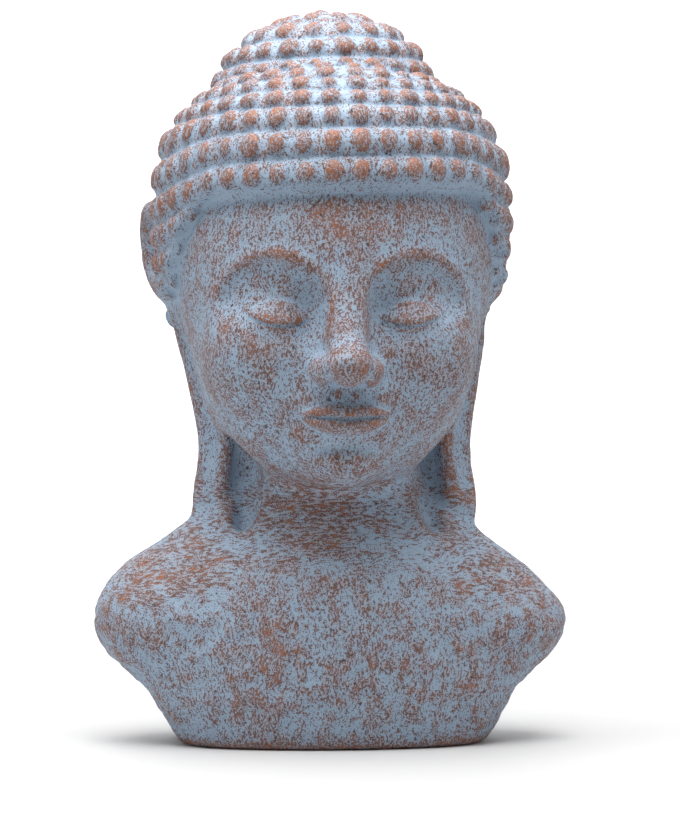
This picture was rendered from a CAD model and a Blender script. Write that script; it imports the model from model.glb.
import math

import bpy
import numpy as np
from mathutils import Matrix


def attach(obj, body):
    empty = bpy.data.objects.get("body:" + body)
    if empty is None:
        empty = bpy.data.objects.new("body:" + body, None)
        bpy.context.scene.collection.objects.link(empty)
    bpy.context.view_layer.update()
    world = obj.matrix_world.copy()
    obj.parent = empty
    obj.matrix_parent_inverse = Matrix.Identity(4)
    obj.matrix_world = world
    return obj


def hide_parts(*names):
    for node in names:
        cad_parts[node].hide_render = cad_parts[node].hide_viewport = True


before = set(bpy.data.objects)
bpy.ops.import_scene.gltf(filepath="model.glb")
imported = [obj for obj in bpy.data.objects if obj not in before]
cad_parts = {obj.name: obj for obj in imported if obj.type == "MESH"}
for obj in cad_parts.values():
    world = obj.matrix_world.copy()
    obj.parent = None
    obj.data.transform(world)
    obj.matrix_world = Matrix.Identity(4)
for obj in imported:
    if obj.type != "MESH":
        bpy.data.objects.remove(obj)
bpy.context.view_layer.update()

import openvdb
from mathutils import Vector

# The camera. The bust was photographed level with its lips, from about a metre off and a touch to
# one side, so that one shoulder shows slightly more than the other.

CAMERA_DISTANCE = 1.1
CAMERA_HEIGHT = 0.1263
CAMERA_TURN = math.radians(-5)
VIEW_HEIGHT = 0.3105  # what the picture takes in, top to bottom, at the bust
VIEW_SHIFT = 0.003  # the bust stands this far left of the middle
SENSOR_HEIGHT = 36

camera_data = bpy.data.cameras.new("camera")
camera_data.sensor_fit = "VERTICAL"
camera_data.sensor_height = SENSOR_HEIGHT
camera_data.lens = SENSOR_HEIGHT * CAMERA_DISTANCE / VIEW_HEIGHT
camera = bpy.data.objects.new("camera", camera_data)
bpy.context.collection.objects.link(camera)
camera_right = Vector((math.cos(CAMERA_TURN), math.sin(CAMERA_TURN), 0))
camera_ahead = Vector((-math.sin(CAMERA_TURN), math.cos(CAMERA_TURN), 0))
camera.location = camera_right * VIEW_SHIFT - camera_ahead * CAMERA_DISTANCE
camera.location.z += CAMERA_HEIGHT
camera.rotation_euler = camera_ahead.to_track_quat("-Z", "Y").to_euler()
bpy.context.scene.camera = camera

# The clay that the mould was taken from. Each form is a distance in millimetres from its skin,
# below zero inside, for whole arrays of points at once, and forms are blended where they meet,
# as a modeller's thumb would.


def join(a, b, blend):
    h = np.maximum(blend - np.abs(a - b), 0) / blend
    return np.minimum(a, b) - h * h * blend * 0.25


def cut(a, b, blend):
    return -join(-a, -b, blend)


def ramp(v, low, high):
    t = np.clip((v - low) / (high - low), 0, 1)
    return t * t * (3 - 2 * t)


def bump(v, width):
    return np.exp(-((v / width) ** 2))


def egg(x, y, z, middle, radii, power=2.0):
    """A solid that is an ellipse across and has a section of the given power up and down."""
    px = (x - middle[0]) / radii[0]
    py = (y - middle[1]) / radii[1]
    pz = np.abs((z - middle[2]) / radii[2]) + 1e-6
    across = np.hypot(px, py) + 1e-6
    level = (across**power + pz**power) ** (1 / power)
    lean = np.hypot(px / radii[0], py / radii[1]) / across
    slope = np.hypot(across ** (power - 1) * lean, pz ** (power - 1) / radii[2])
    return (level - 1) / (level ** (1 - power) * slope)


def bar(x, y, z, start, end, start_radius, end_radius):
    """A round bar with a radius at each end."""
    way = np.subtract(end, start)
    along = (x - start[0]) * way[0] + (y - start[1]) * way[1] + (z - start[2]) * way[2]
    t = np.clip(along / (way @ way), 0, 1)
    gap_x = x - start[0] - t * way[0]
    gap_y = y - start[1] - t * way[1]
    gap_z = z - start[2] - t * way[2]
    return np.sqrt(gap_x**2 + gap_y**2 + gap_z**2) - (start_radius + (end_radius - start_radius) * t)


# The torso, cut off flat below the shoulders. The arms end in rounded stumps whose undersides
# slope in to the foot, the lower edge is rounded, and the shoulder line drops a little to +X.

LEAN = 0.035


def torso(x, y, z):
    ax = np.abs(x)
    tilted = z + LEAN * x * ramp(z, 38, 66)
    neck = bar(x, y, z, (0, 8, 55), (0, 10, 150), 35, 33.5)
    wide = 57.8 + 0.6 * z
    deep = 42 + 0.17 * z
    block = ((np.abs(x / wide) ** 2.8 + np.abs((y - 1) / deep) ** 2.8) ** (1 / 2.8) - 1) * deep * 0.95
    upper_chest = egg(x, y, z, (0, 2, 40), (80, 44.5, 52))
    lower_chest = egg(x, y, z, (0, 2, 40), (80, 44.5, 56), 3.2)
    chest = cut(np.where(z > 40, upper_chest, lower_chest), block, 6)
    upper_arm = egg(ax, y, tilted, (61, 3, 45.5), (28.8, 30, 20.4))
    slope = bar(ax, y, tilted, (24, 8, 78), (60, 4, 52.7), 19.6, 19.7)
    shoulder = join(upper_arm, slope, 10)
    body = join(join(chest, shoulder, 9), neck, 20)
    return cut(body, -z, 2.5)


# The ears. Each is a dish with a round rim, an inner fold and a small flap in front, and its
# lobe hangs to the shoulder as a long flat tongue with a channel down it.


LOBE_SHIFT = 1.7  # the lobes hang slightly to +X


def ear_dish(ax, y, z):
    """How far a point lies outside the dish's rim, and how far it stands out of its plane."""
    ring = np.hypot((y - 16.5) / 10.5, (z - 187.3) / 14.6) - 1
    return ring * 12, ax - (61.5 + 0.26 * (y - 8) + 0.12 * (z - 186))


def ear(x, y, z):
    ax = np.abs(x - LOBE_SHIFT * (1 - ramp(z, 135, 165)))
    ring, flare = ear_dish(ax, y, z)
    rim = np.hypot(ring, flare - 2) - 3.3
    dish = cut(np.abs(flare + 2.5) - 3, ring, 3)
    inner_ring = np.hypot((y - 14) / 6, (z - 182) / 10.5) - 1
    inner_fold = cut(np.hypot(inner_ring * 7.5, flare - 0.3) - 1.9, 13.5 - y, 2)
    flap = egg(ax, y, z, (60.5, 4.5, 176), (3.5, 3.5, 6))
    shell = join(join(join(rim, dish, 2.5), inner_fold, 1.5), flap, 3)

    t = np.clip((z - 95) / 80, -0.2, 1.1)  # 0 at the tip of the lobe, 1 at the ear
    dx = ax - (43.5 + 2.2 * t + 15.5 * t * t + 4.5 * (1 - ramp(z, 84, 118)))
    dy = y - (2 + 11 * t * t)
    twist = np.radians(55 - 38 * t)
    through = dx * np.cos(twist) - dy * np.sin(twist)
    across = dx * np.sin(twist) + dy * np.cos(twist)
    tongue = egg(through, across, z, (0, 0, 129), (4.6, 8.8, 49), 4)
    channel = egg(through, across, z, (5.4, 0, 130), (3.6, 4.6, 34), 2.6)
    lobe = cut(tongue, -channel, 3.5)
    web = bar(ax, y, z, (52, 14, 152), (37, 9, 90), 6, 9)
    return join(join(shell, lobe, 5), web, 5)


# The face: a plain, calm one with lowered lids. Between the hairline and the chin, the brow and the
# base of the nose stand at equal thirds, and the face is five eyes wide.

CHIN_Z = 99
HAIRLINE_Z = 205
FACE_WIDTH = 112
THIRD = (HAIRLINE_Z - CHIN_Z) / 3
BROW_Z = HAIRLINE_Z - THIRD
NOSE_Z = CHIN_Z + THIRD
MOUTH_Z = CHIN_Z + THIRD * 2 / 3
EYE_X = FACE_WIDTH / 5
EYE_Z = BROW_Z - 10
MOUTH_HALF = 17.5


def brow_relief(ax, z):
    """The socket goes in and the brow stands out, both along one ellipse."""
    ex = (ax - EYE_X - 4.5) / 21
    ez = (z - EYE_Z - 1.5) / 20.5
    ring = np.hypot(ex, ez)
    socket = -4.2 * (1 - ramp(ring, 0.7, 1)) * ramp(ez, -0.35, 0.25)
    temple = ramp(ex, 0.85, 1.08) * (1 - ramp(ez, 0, 0.5))
    return socket + 1.5 * bump((ring - 1.04) * 20.5, 2.1) * ramp(ez, -0.25, 0.15) * (1 - temple)


def lid_relief(ax, z):
    """The edge of the lowered upper lid, the lower lid's rim and the fold above."""
    u = np.clip((ax - EYE_X - 1) / 12.6, -1.1, 1.1)
    inside = ramp(1.12 - np.abs((ax - EYE_X - 1) / 12.6), 0, 0.3)
    d = z - (EYE_Z - 3.6 + 3.4 * u * u + 0.5 * u)
    fold = EYE_Z + 6.3 - 6 * u * u + 0.5 * u
    edge = 1.15 * ramp(d, -0.45, 0.45) * (1 - ramp(d, 1, 6)) - 0.5 * bump(d + 0.4, 0.5)
    return inside * (edge + 0.5 * bump(d + 1.7, 0.9) - 0.8 * bump(z - fold, 0.9))


def mouth_relief(ax, z):
    """Two closed lips, their corners, the groove under the nose and the fold above the chin."""
    u = np.clip(ax / MOUTH_HALF, 0, 1.2)
    line = MOUTH_Z + 0.5 * u * u - 0.5 * bump(ax, 4)
    upper_rim = 1.2 + 5.2 * (1 - np.minimum(u, 1) ** 1.7) - 1.3 * bump(ax, 3) + 0.4 * u
    lower_rim = 0.6 - 7.4 * (1 - np.minimum(u / 0.95, 1) ** 2.6)
    t = np.clip((z - line) / np.maximum(MOUTH_Z + upper_rim - line, 0.5), 0, 1)
    s = np.clip((line - z) / np.maximum(line - MOUTH_Z - lower_rim, 0.5), 0, 1)
    upper = 2.9 * np.maximum(np.sin(np.pi * (0.24 + 0.76 * t)), 0) ** 0.8
    lower = 3.5 * np.maximum(np.sin(np.pi * (0.22 + 0.78 * s)), 0) ** 0.8
    lips = np.where(z >= line, upper, lower) * (1 - ramp(u, 0.8, 1.03))
    parting = -1.2 * bump(z - line, 0.75) * (1 - ramp(u, 0.95, 1.12))
    corner = -0.9 * bump(ax - MOUTH_HALF * 1.07, 2.6) * bump(z - MOUTH_Z - 1.4, 3)
    groove = ramp(z, MOUTH_Z + 5, MOUTH_Z + 8) * (1 - ramp(z, NOSE_Z - 4, NOSE_Z + 1))
    chin_fold = -2 * bump(z - MOUTH_Z + 10.5, 3.2) * (1 - ramp(ax, 6, 18))
    return lips + parting + corner + groove * 0.8 * (bump(ax - 3.4, 1.6) - bump(ax, 2)) + chin_fold


def face(x, y, z):
    ax = np.abs(x)
    front = ramp(-y, 20, 42)
    lids = lid_relief(ax, z) * front
    ys = y + lids + (brow_relief(ax, z) + mouth_relief(ax, z)) * front
    head = egg(x, y, z, (0, 4, 192), (60.5, 66, 56))
    head = join(head, egg(x, ys, z, (0, -10, 168), (56, 54.5, 70)), 14)
    jaw = egg(x, ys, z, (0, -17, 133), (42, 41, 34))
    chin = egg(x, ys, z, (0, -46, 109.5), (13, 14, 11))
    head = join(join(head, jaw, 18), chin, 13)
    cheek = egg(ax, ys, z, (29, -38, 147), (18, 18.5, 20))
    mouth_mound = egg(x, ys, z, (0, -49, 126), (19, 13.5, 13))
    head = join(join(head, cheek, 14), mouth_mound, 10)
    eye_corner = egg(ax, y, z, (14.5, -69, EYE_Z + 1), (8, 10, 12))
    eyeball = egg(ax, y + lids, z, (EYE_X + 1, -47.5, EYE_Z - 0.5), (13.2, 12.8, 10))
    head = join(cut(head, -eye_corner, 8), eyeball, 3)
    bridge = bar(ax, y, z, (0, -57.5, BROW_Z + 5), (0, -71.4, NOSE_Z + 8), 5.2, 6.8)
    tip = egg(x, y, z, (0, -73.6, NOSE_Z + 6.8), (7.2, 7.4, 6.4))
    wing = egg(ax, y, z, (8.6, -65.5, NOSE_Z + 5), (4.6, 7, 4.7))
    head = join(join(join(head, bridge, 8), tip, 6), wing, 4.5)
    nostril = egg(ax, y, z, (4.9, -68.5, NOSE_Z - 0.6), (2.4, 4, 2.2))
    return cut(head, -nostril, 2)


# The hair: a cap with a bun on its crown, wound round with rolls a curl high. It ends level over
# the forehead, drops before the ears and again to the nape, and leaves the ears free.

PITCH = 10.2  # one roll to the next, and one curl to the next
ROLL_RISE = 1.9
DOME = {"middle": (0, 4, 200), "rx": 66, "ry": 70, "up": 54, "down": 100, "power": 2.6}
BUN = {"middle": (-2.5, 14, 249), "rx": 40, "ry": 40, "up": 27.3, "down": 27.3, "power": 1.85}
FRONT_ROW_Z = 210.8
HAIR_ROLL = 0.04  # the rolls and the bun hang lower towards -X, this much per millimetre
ROWS_BELOW = 9
TEMPLE_DIP = 7  # the rolls hang this much lower at the temples
TEMPLE_DROP = 34  # the hairline drops this much before the ears
NAPE_DROP = 46  # and this much again to the nape


def share(z, form):
    """How wide a dome is at a height, as a share of its full width."""
    if z >= form["middle"][2]:
        rest = 1 - ((z - form["middle"][2]) / form["up"]) ** form["power"]
        return max(rest, 0) ** (1 / form["power"])
    return math.sqrt(1 - ((z - form["middle"][2]) / form["down"]) ** 2)


def climb(wide, z, form):
    """A measure that rises up the skin and hardly changes across it."""
    angle = np.arctan2((z - form["middle"][2]) / form["up"], wide)
    if form is BUN:
        return angle
    return np.where(z < form["middle"][2], z - form["middle"][2], form["up"] * angle)


def curl_rows(heights, form):
    wide = np.array([share(z, form) for z in heights])
    arc = wide * (form["rx"] + form["ry"]) / 2
    counts = np.round(np.pi * arc / PITCH) * 2
    return {"level": climb(wide, np.array(heights), form), "arc": arc, "count": np.maximum(counts, 1)}


DOME_ROWS = curl_rows(
    [FRONT_ROW_Z - PITCH * i for i in range(ROWS_BELOW, 0, -1)]
    + [FRONT_ROW_Z, 222, 232, 238.6, 244.2, 248.2, 251.6],
    DOME,
)
BUN_ROWS = curl_rows([253.2, 261.2, 268.4, 273.8, BUN["middle"][2] + BUN["up"]], BUN)
BUN_TOP = len(BUN_ROWS["level"]) - 1


def sunk(x, y, z):
    """The height that a point has on the rolls, which dip at the temples and towards -X."""
    turn = np.degrees(np.arctan2(np.abs(x), DOME["middle"][1] - y))
    return z - HAIR_ROLL * x + TEMPLE_DIP * ramp(turn, 35, 80) * (1 - 0.7 * ramp(z, 212, 238))


def on_row(x, y, z, form, rows):
    """Where a point lies from the middle of its nearest curl, and which curl that is."""
    px = (x - form["middle"][0]) / form["rx"]
    py = (y - form["middle"][1]) / form["ry"]
    wide = np.hypot(px, py) + 1e-6
    level = climb(wide, sunk(x, y, z) if form is DOME else z, form)
    place = np.interp(level, rows["level"], np.arange(len(rows["level"])))
    row = np.round(place).astype(int)
    up = (place - row) * PITCH
    turns = np.arctan2(px, -py) / (2 * np.pi) * rows["count"][row]
    curl = np.round(turns - 0.5) + 0.5
    along = (turns - curl) / rows["count"][row] * 2 * np.pi * rows["arc"][row]
    if form is BUN:
        up = np.where(level < rows["level"][0], (level - rows["level"][0]) * form["rx"] * 0.75, up)
        along = np.where(row == BUN_TOP, wide * form["rx"], along)
        up = np.where(row == BUN_TOP, 0, up)
    return along, up, row * 100 + curl


def rolls(x, y, z, form, rows):
    _, up, _ = on_row(x, y, z, form, rows)
    return ROLL_RISE * np.sqrt(np.maximum(1 - np.abs(up / PITCH * 2) ** 2.4, 0))


def hairline_at(x, y):
    turn = np.degrees(np.arctan2(np.abs(x), DOME["middle"][1] - y))
    before_ears = HAIRLINE_Z - 0.5 + HAIR_ROLL * x - TEMPLE_DROP * ramp(turn, 46, 82)
    return before_ears - NAPE_DROP * ramp(turn, 92, 132)


def hair_cap(x, y, z):
    upper = egg(x, y, z, DOME["middle"], (DOME["rx"], DOME["ry"], DOME["up"]), DOME["power"])
    lower = egg(x, y, z, DOME["middle"], (DOME["rx"], DOME["ry"], DOME["down"]))
    cap = np.where(z > DOME["middle"][2], upper, lower) - rolls(x, y, z, DOME, DOME_ROWS)
    ring, flare = ear_dish(np.abs(x), y, z)
    around_ear = cut(ring - 2.2, -1.5 - flare, 2)
    return cut(cut(cap, (hairline_at(x, y) - z) * 0.85, 4.5), -around_ear, 2)


def hair_bun(x, y, z):
    z = z - HAIR_ROLL * x
    knot = egg(x, y, z, BUN["middle"], (BUN["rx"], BUN["ry"], BUN["up"]), BUN["power"])
    return cut(knot - rolls(x, y, z, BUN, BUN_ROWS), BUN["middle"][2] - 0.5 - z, 2.5)


def hair(x, y, z):
    return join(hair_cap(x, y, z), hair_bun(x, y, z), 1.5)


def flesh(x, y, z):
    """The head, torso and ears, with a hollow down each side of the neck behind the lobe."""
    body = join(join(face(x, y, z), torso(x, y, z), 6), ear(x, y, z), 4)
    hollow = egg(np.abs(x - LOBE_SHIFT), y, z, (36, -13, 104), (6.5, 12, 24))
    return cut(body, -hollow, 6)


def clay(x, y, z):
    return join(flesh(x, y, z), hair(x, y, z), 2.5)


# The skin of the casting. The clay is sampled on a fine grid near its surface, a net of squares
# is drawn over it, and the net's points are drawn in until they lie on the clay.

GRID = 1.15  # millimetres
COARSE = 4  # the grid is first tried in cells this many times larger
REACH = ((-92, -92, -4), (92, 92, 284))
BAND = 3 * GRID  # the field is true this near to the skin
CORNER = 0.87  # from a cell's middle to its corner, in cells
SET_BACK = 1.87  # the forms are laid out round the neck, this far ahead of the foot's middle
PULLS = 2
PROBE = 0.15  # the slope of the field is felt over this length
LONGEST_PULL = GRID * 0.5


def cast_net(form):
    low = np.array(REACH[0], float)
    cell = GRID * COARSE
    cells = np.ceil((np.array(REACH[1]) - low) / cell).astype(int) + 1
    middles = [low[i] + (np.arange(cells[i]) + 0.5) * cell - 0.5 * GRID for i in range(3)]
    rough = form(*np.meshgrid(*middles, indexing="ij")).astype(np.float32)
    block = np.ones((COARSE, COARSE, COARSE), np.float32)
    field = np.kron(np.sign(rough) * BAND, block).astype(np.float32)
    near = np.kron(np.abs(rough) < cell * CORNER + BAND, block > 0)
    spots = np.nonzero(near)
    places = [(low[i] + spots[i] * GRID).astype(np.float32) for i in range(3)]
    field[spots] = form(*places)
    volume = openvdb.FloatGrid(background=BAND)
    volume.copyFromArray(field)
    points, squares = volume.convertToQuads(isovalue=0)
    return points * GRID + low, squares


def pull_onto(form, points):
    here = form(*points.T)
    slopes = [form(*(points + PROBE * np.eye(3)[i]).T) - here for i in range(3)]
    slope = np.stack(slopes, 1) / PROBE
    move = -(here / np.maximum((slope * slope).sum(1), 0.05))[:, None] * slope
    length = np.linalg.norm(move, axis=1)
    return points + move * np.minimum(1, LONGEST_PULL / np.maximum(length, 1e-6))[:, None]


points, squares = cast_net(clay)
for _ in range(PULLS):
    points = pull_onto(clay, points)

bust_mesh = bpy.data.meshes.new("bust_skin")
bust_mesh.from_pydata((points + (0, SET_BACK, 0)) / 1000, [], squares)
bust = bpy.data.objects.new("bust_skin", bust_mesh)
bpy.context.collection.objects.link(bust)


def write_values(mesh, name, values):
    layer = mesh.attributes.new(name, "FLOAT", "POINT")
    layer.data.foreach_set("value", np.ascontiguousarray(values, np.float32))


def read_points(mesh):
    flat = np.empty(len(mesh.vertices) * 3, np.float32)
    mesh.vertices.foreach_get("co", flat)
    return flat.reshape(-1, 3) * 1000 - (0, SET_BACK, 0)


# The curls, one round bead after another along every roll. Each is a low dome, no two quite
# alike, and the casting's skin has slight lumps and grains, except on its flat underside.

CURL_RADIUS = 0.0036
CURL_RISE = 0.0018
CURL_POWER = 2.5
CURL_UNEVEN = 0.14
CURL_SEED = 4
LUMP_RISE = 0.0012
GRAIN_RISE = 0.0005
NICK_RISE = 0.0024  # the nicks are at the lower edges only

x, y, z = points.T
in_bun = hair_bun(x, y, z) < hair_cap(x, y, z)
cap_along, cap_up, cap_number = on_row(x, y, z, DOME, DOME_ROWS)
bun_along, bun_up, bun_number = on_row(x, y, z - HAIR_ROLL * x, BUN, BUN_ROWS)
along = np.where(in_bun, bun_along, cap_along)
up = np.where(in_bun, bun_up, cap_up)
number = np.where(in_bun, 5000 + bun_number, cap_number)
cover = 1 - ramp(hair(x, y, z), 0.15, 0.6)
write_values(bust_mesh, "curl_along", along / 1000)
write_values(bust_mesh, "curl_up", up / 1000)
write_values(bust_mesh, "curl_number", number)
write_values(bust_mesh, "curl_cover", cover)


class Value:
    """A value on the surface, in a shader or in Geometry Nodes. Arithmetic on it adds nodes."""

    def __init__(self, tree, socket):
        self.tree = tree
        self.socket = socket

    def math(self, operation, *others):
        values = dict(enumerate((self, *others)))
        return add_node(self.tree, "ShaderNodeMath", {"operation": operation}, values)

    def __add__(self, other):
        return self.math("ADD", other)

    def __radd__(self, other):
        return self.math("ADD", other)

    def __sub__(self, other):
        return self.math("SUBTRACT", other)

    def __rsub__(self, other):
        return add_node(self.tree, "ShaderNodeMath", {"operation": "SUBTRACT"}, {0: other, 1: self})

    def __mul__(self, other):
        return self.math("MULTIPLY", other)

    def __rmul__(self, other):
        return self.math("MULTIPLY", other)

    def __truediv__(self, other):
        return self.math("DIVIDE", other)

    def __pow__(self, other):
        return self.math("POWER", other)

    def least(self, other):
        return self.math("MINIMUM", other)

    def most(self, other):
        return self.math("MAXIMUM", other)

    def ramp(self, low, high):
        """0 below low, 1 above high, and a smooth rise between."""
        settings = {"interpolation_type": "SMOOTHSTEP"}
        return add_node(self.tree, "ShaderNodeMapRange", settings, {0: self, 1: low, 2: high})


def add_node(tree, kind, settings=None, values=None, output=0):
    """Adds a node, makes its settings first, then fills or links its sockets."""
    node = tree.nodes.new(kind)
    for name, setting in (settings or {}).items():
        setattr(node, name, setting)
    for name, value in (values or {}).items():
        if isinstance(value, Value):
            tree.links.new(value.socket, node.inputs[name])
        else:
            node.inputs[name].default_value = value
    return Value(tree, node.outputs[output])


def named(tree, name):
    settings = {"data_type": "FLOAT"}
    return add_node(tree, "GeometryNodeInputNamedAttribute", settings, {"Name": name})


def curls_tree():
    tree = bpy.data.node_groups.new("curls", "GeometryNodeTree")
    tree.interface.new_socket("Geometry", in_out="INPUT", socket_type="NodeSocketGeometry")
    for name in ("Radius", "Rise", "Power", "Unevenness"):
        tree.interface.new_socket(name, in_out="INPUT", socket_type="NodeSocketFloat")
    tree.interface.new_socket("Seed", in_out="INPUT", socket_type="NodeSocketInt")
    tree.interface.new_socket("Finish", in_out="INPUT", socket_type="NodeSocketMaterial")
    tree.interface.new_socket("Geometry", in_out="OUTPUT", socket_type="NodeSocketGeometry")
    source = tree.nodes.new("NodeGroupInput")
    given = {socket.name: Value(tree, socket) for socket in source.outputs if socket.name}

    number = named(tree, "curl_number")
    span = {2: -1.0, 3: 1.0, "ID": number, "Seed": given["Seed"]}
    fate = add_node(tree, "FunctionNodeRandomValue", {"data_type": "FLOAT"}, span, 1)
    swell = 1 + fate * given["Unevenness"]
    along = named(tree, "curl_along")
    up = named(tree, "curl_up")
    reach = (along * along + up * up * 0.8) ** 0.5 / (given["Radius"] * swell)
    dome = (1 - reach ** given["Power"]).most(0) ** 0.7
    rise = dome * given["Rise"] * swell * named(tree, "curl_cover")

    place = add_node(tree, "GeometryNodeInputPosition")
    height = add_node(tree, "ShaderNodeSeparateXYZ", None, {0: place}, 2)
    lumps = add_node(tree, "ShaderNodeTexNoise", None, {"Vector": place, "Scale": 55.0, "Detail": 2.0})
    grains = add_node(tree, "ShaderNodeTexNoise", None, {"Vector": place, "Scale": 330.0, "Detail": 2.0})
    nicks = add_node(tree, "ShaderNodeTexNoise", None, {"Vector": place, "Scale": 150.0, "Detail": 1.0})
    low = 1 - height.ramp(0.045, 0.075)
    rough = (lumps - 0.5) * LUMP_RISE + (grains - 0.5) * GRAIN_RISE
    rough = rough + (nicks - 0.5) * low * NICK_RISE
    rough = rough * height.ramp(0.001, 0.006)
    normal = add_node(tree, "GeometryNodeInputNormal")
    outward = {0: normal, "Scale": rise + rough}
    offset = add_node(tree, "ShaderNodeVectorMath", {"operation": "SCALE"}, outward)
    moved = {"Geometry": given["Geometry"], "Offset": offset}
    raised = add_node(tree, "GeometryNodeSetPosition", None, moved)
    smooth = add_node(tree, "GeometryNodeSetShadeSmooth", None, {0: raised})
    whole = add_node(tree, "GeometryNodeRealizeInstances", None, {0: smooth})
    finish = add_node(tree, "GeometryNodeSetMaterial", None, {0: whole, "Material": given["Finish"]})
    sink = tree.nodes.new("NodeGroupOutput")
    tree.links.new(finish.socket, sink.inputs[0])
    return tree


# The finish. The cast body is painted copper all over, then a pale blue-grey wash is brushed on
# and rubbed back before it dries: copper shows on the curls, the brows, the lids, the lips and
# every edge, and as fine streaks and cracks wherever the brush went.

WASH = (0.300, 0.400, 0.520, 1)
WASH_THIN = (0.340, 0.350, 0.410, 1)
COPPER = (0.370, 0.155, 0.085, 1)
COPPER_DARK = (0.190, 0.080, 0.055, 1)
CRACK = (0.160, 0.085, 0.070, 1)
PIT = (0.060, 0.040, 0.035, 1)
STROKE_SCALE = 190.0
CRACK_SCALE = 1400.0
SPECK_SCALE = 2300.0
PIT_SCALE = 700.0
PATCH_SCALE = 55.0


def patina():
    material = bpy.data.materials.new("rubbed_patina")
    material.use_nodes = True
    tree = material.node_tree
    shader = tree.nodes["Principled BSDF"]
    place = add_node(tree, "ShaderNodeTexCoord", output=3)

    def attribute(name):
        return add_node(tree, "ShaderNodeAttribute", {"attribute_name": name}, None, 2)

    def noise(vector, scale, detail, output=0):
        values = {"Vector": vector, "Scale": scale, "Detail": detail, "Roughness": 0.62}
        return add_node(tree, "ShaderNodeTexNoise", None, values, output)

    def mix(factor, a, b):
        return add_node(tree, "ShaderNodeMix", {"data_type": "RGBA"}, {0: factor, 6: a, 7: b}, 2)

    wobble = noise(place, 60.0, 1.0, 1)
    wobble = add_node(tree, "ShaderNodeVectorMath", {"operation": "SCALE"}, {0: wobble, "Scale": 0.006})
    bent = add_node(tree, "ShaderNodeVectorMath", {"operation": "ADD"}, {0: place, 1: wobble})
    upright = add_node(tree, "ShaderNodeMapping", None, {0: bent, 3: (1, 1, 0.5)})
    level = add_node(tree, "ShaderNodeMapping", None, {0: bent, 3: (0.25, 0.35, 1)})
    level_here = attribute("level_strokes")

    def brushed(scale, detail):
        """Noise drawn out along the brush's way, upright or level."""
        stood = noise(upright, scale, detail)
        return stood + (noise(level, scale, detail) - stood) * level_here - 0.5

    rubbed = attribute("rubbed")
    patches = noise(place, PATCH_SCALE, 2.0) - 0.5
    strokes = brushed(STROKE_SCALE, 2.0)
    cracks = brushed(CRACK_SCALE, 3.0)
    specks = noise(place, SPECK_SCALE, 1.0) - 0.5
    thin = rubbed + patches * 1.1 + strokes * 1.7
    crack = (cracks * 0.9 + specks * 0.6 + thin * 0.11).ramp(0.0, 0.07)
    copper = (cracks * 0.7 + specks * 0.6 + (thin * 0.36).least(0.29)).ramp(0.235, 0.30)
    pits = noise(place, PIT_SCALE, 0.0).ramp(0.77, 0.80)

    colour = mix((thin + cracks).ramp(-0.3, 0.4), WASH, WASH_THIN)
    colour = mix(crack, colour, CRACK)
    colour = mix(copper, colour, mix(specks.ramp(-0.10, 0.08), COPPER_DARK, COPPER))
    colour = mix(pits * 0.8, colour, PIT)
    body = shader.inputs
    tree.links.new(colour.socket, body["Base Color"])
    tree.links.new((0.62 - copper * 0.12 + crack * 0.1).socket, body["Roughness"])
    tree.links.new((copper * 0.3).socket, body["Metallic"])
    height = 0.8 - copper * 0.5 - crack * 0.5 + specks * 0.5 - pits
    relief = add_node(tree, "ShaderNodeBump", None, {"Height": height, "Distance": 0.0004, "Strength": 0.7})
    tree.links.new(relief.socket, body["Normal"])
    return material


finish = patina()

curls = bust.modifiers.new("curls", "NODES")
curls.node_group = curls_tree()
sockets = curls.node_group.interface.items_tree
socket_ids = {item.name: item.identifier for item in sockets if item.in_out == "INPUT"}
curls[socket_ids["Radius"]] = CURL_RADIUS
curls[socket_ids["Rise"]] = CURL_RISE
curls[socket_ids["Power"]] = CURL_POWER
curls[socket_ids["Unevenness"]] = CURL_UNEVEN
curls[socket_ids["Seed"]] = CURL_SEED
curls[socket_ids["Finish"]] = finish
FACE_LIMIT = 196000
thinned = bust.modifiers.new("thinned", "DECIMATE")
thinned.ratio = FACE_LIMIT / (2 * len(squares))
cast = bpy.data.meshes.new_from_object(bust.evaluated_get(bpy.context.evaluated_depsgraph_get()))
bust.modifiers.clear()
bust.data = cast
cast.name = "bust_skin"

# Where the wash was rubbed off: from what stands proud of its surroundings, from the tops of the
# curls, and from a few places that were rubbed harder.

RUBBED_PLACES = [
    # x, y, z, radius, how hard
    (0, -56, 196, 20, 0.55),
    (-60, -18, 68, 20, 0.4),
    (-10, -30, 90, 20, 0.5),
    (-28, -42, 38, 13, 0.3),
    (70, -10, 50, 16, 0.25),
    (-34, -40, 10, 14, 0.25),
]


PASSES = (4, 20, 100)  # for ridges, for forms and for the whole cast


def proudness(skin, normals, edges, passes):
    """How far each point stands out from the skin around it, in millimetres: a wider ring of
    skin for each pass."""
    smooth = skin.copy()
    count = np.bincount(edges.ravel(), minlength=len(skin))[:, None]
    for _ in range(passes):
        total = np.zeros_like(smooth)
        for axis in range(3):
            total[:, axis] += np.bincount(edges[:, 0], smooth[edges[:, 1], axis], len(skin))
            total[:, axis] += np.bincount(edges[:, 1], smooth[edges[:, 0], axis], len(skin))
        smooth = total / count
    return ((skin - smooth) * normals).sum(1)


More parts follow.
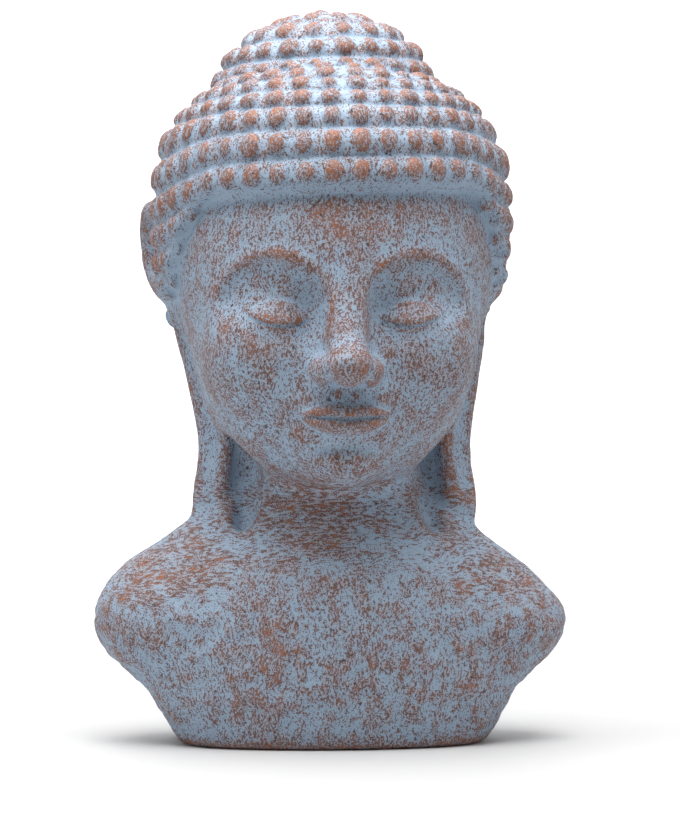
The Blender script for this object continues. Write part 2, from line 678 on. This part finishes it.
skin = read_points(cast)
flat = np.empty(len(skin) * 3, np.float32)
cast.vertex_normals.foreach_get("vector", flat)
normals = flat.reshape(-1, 3)
flat = np.empty(len(cast.edges) * 2, np.int32)
cast.edges.foreach_get("vertices", flat)
edges = flat.reshape(-1, 2)
narrow, middling, broad = (proudness(skin, normals, edges, passes) for passes in PASSES)
ridge = narrow - middling * PASSES[0] / PASSES[1]
form = middling - broad * PASSES[1] / PASSES[2]
sx, sy, sz = skin.T
rubbed = np.clip(ridge / 0.3, -1, 1) * 0.45 + np.clip(form / 0.5, -1, 1) * 0.35
rubbed = np.clip(rubbed + ramp(broad, 2.2, 6) * 0.25, -1, 0.6)
in_hair = 1 - ramp(hair(sx, sy, sz), 0.6, 3)
above_edge = sz - hairline_at(sx, sy)
rubbed = rubbed + in_hair * (0.12 - bump(above_edge - 1.5, 3)) + 0.5 * bump(sz - 1.5, 2.5)
for px, py, pz, radius, hard in RUBBED_PLACES:
    gap = np.sqrt((sx - px) ** 2 + (sy - py) ** 2 + (sz - pz) ** 2)
    rubbed = rubbed + hard * (1 - ramp(gap, radius * 0.4, radius * 1.3))
write_values(cast, "rubbed", rubbed)
on_neck = ramp(sz, 60, 74) * (1 - ramp(sz, 96, 106))
on_shoulders = ramp(np.abs(sx), 30, 50) * ramp(sz, 44, 60) * (1 - ramp(sz, 90, 100))
write_values(cast, "level_strokes", np.clip(on_neck + on_shoulders, 0, 1))

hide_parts("bust")
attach(bust, "root")

# The floor: plain and pale, swept up into a wall far behind so that no edge shows.

SWEEP_START = 2.2
SWEEP_RADIUS = 1.2
SWEEP_STEPS = 16
FLOOR_COLOUR = (0.6, 0.6, 0.6, 1)
profile = [(-5, 0), (SWEEP_START, 0)]
for step in range(1, SWEEP_STEPS + 1):
    bend = math.pi / 2 * step / SWEEP_STEPS
    profile.append((SWEEP_START + SWEEP_RADIUS * math.sin(bend), SWEEP_RADIUS * (1 - math.cos(bend))))
profile.append((SWEEP_START + SWEEP_RADIUS, 5))
floor_mesh = bpy.data.meshes.new("floor")
corners = [(x, y, z) for y, z in profile for x in (-6, 6)]
strips = [(2 * i, 2 * i + 1, 2 * i + 3, 2 * i + 2) for i in range(len(profile) - 1)]
floor_mesh.from_pydata(corners, [], strips)
floor_mesh.polygons.foreach_set("use_smooth", [True] * len(strips))
floor = bpy.data.objects.new("floor", floor_mesh)
bpy.context.collection.objects.link(floor)
floor_paint = bpy.data.materials.new("floor_paint")
floor_paint.use_nodes = True
floor_shader = floor_paint.node_tree.nodes["Principled BSDF"]
floor_shader.inputs["Base Color"].default_value = FLOOR_COLOUR
floor_shader.inputs["Roughness"].default_value = 0.7
floor_mesh.materials.append(floor_paint)

# The studio: a pale room with a large soft light overhead and one at each side, the left stronger,
# and a fourth that washes the wall behind.

ROOM_LIGHT = 0.1


def soft_light(name, place, aim, size, power):
    data = bpy.data.lights.new(name, "AREA")
    data.size = size
    data.energy = power
    light = bpy.data.objects.new(name, data)
    bpy.context.collection.objects.link(light)
    light.location = place
    light.rotation_euler = (Vector(aim) - Vector(place)).to_track_quat("-Z", "Y").to_euler()


soft_light("top", (-0.04, -0.1, 0.78), (0, 0, 0.15), 0.7, 11.5)
soft_light("left", (-1.15, -0.25, 0.75), (0, 0, 0.13), 0.9, 4.9)
soft_light("right", (1.15, -0.2, 0.7), (0, 0, 0.13), 0.9, 4.2)
soft_light("wall_wash", (0, 1.6, 2.2), (0, 3.4, 0.7), 2.0, 150)
world = bpy.data.worlds.new("room")
world.use_nodes = True
background = world.node_tree.nodes["Background"]
background.inputs["Color"].default_value = (1, 1, 1, 1)
background.inputs["Strength"].default_value = ROOM_LIGHT
bpy.context.scene.world = world
bpy.context.scene.view_settings.view_transform = "Standard"
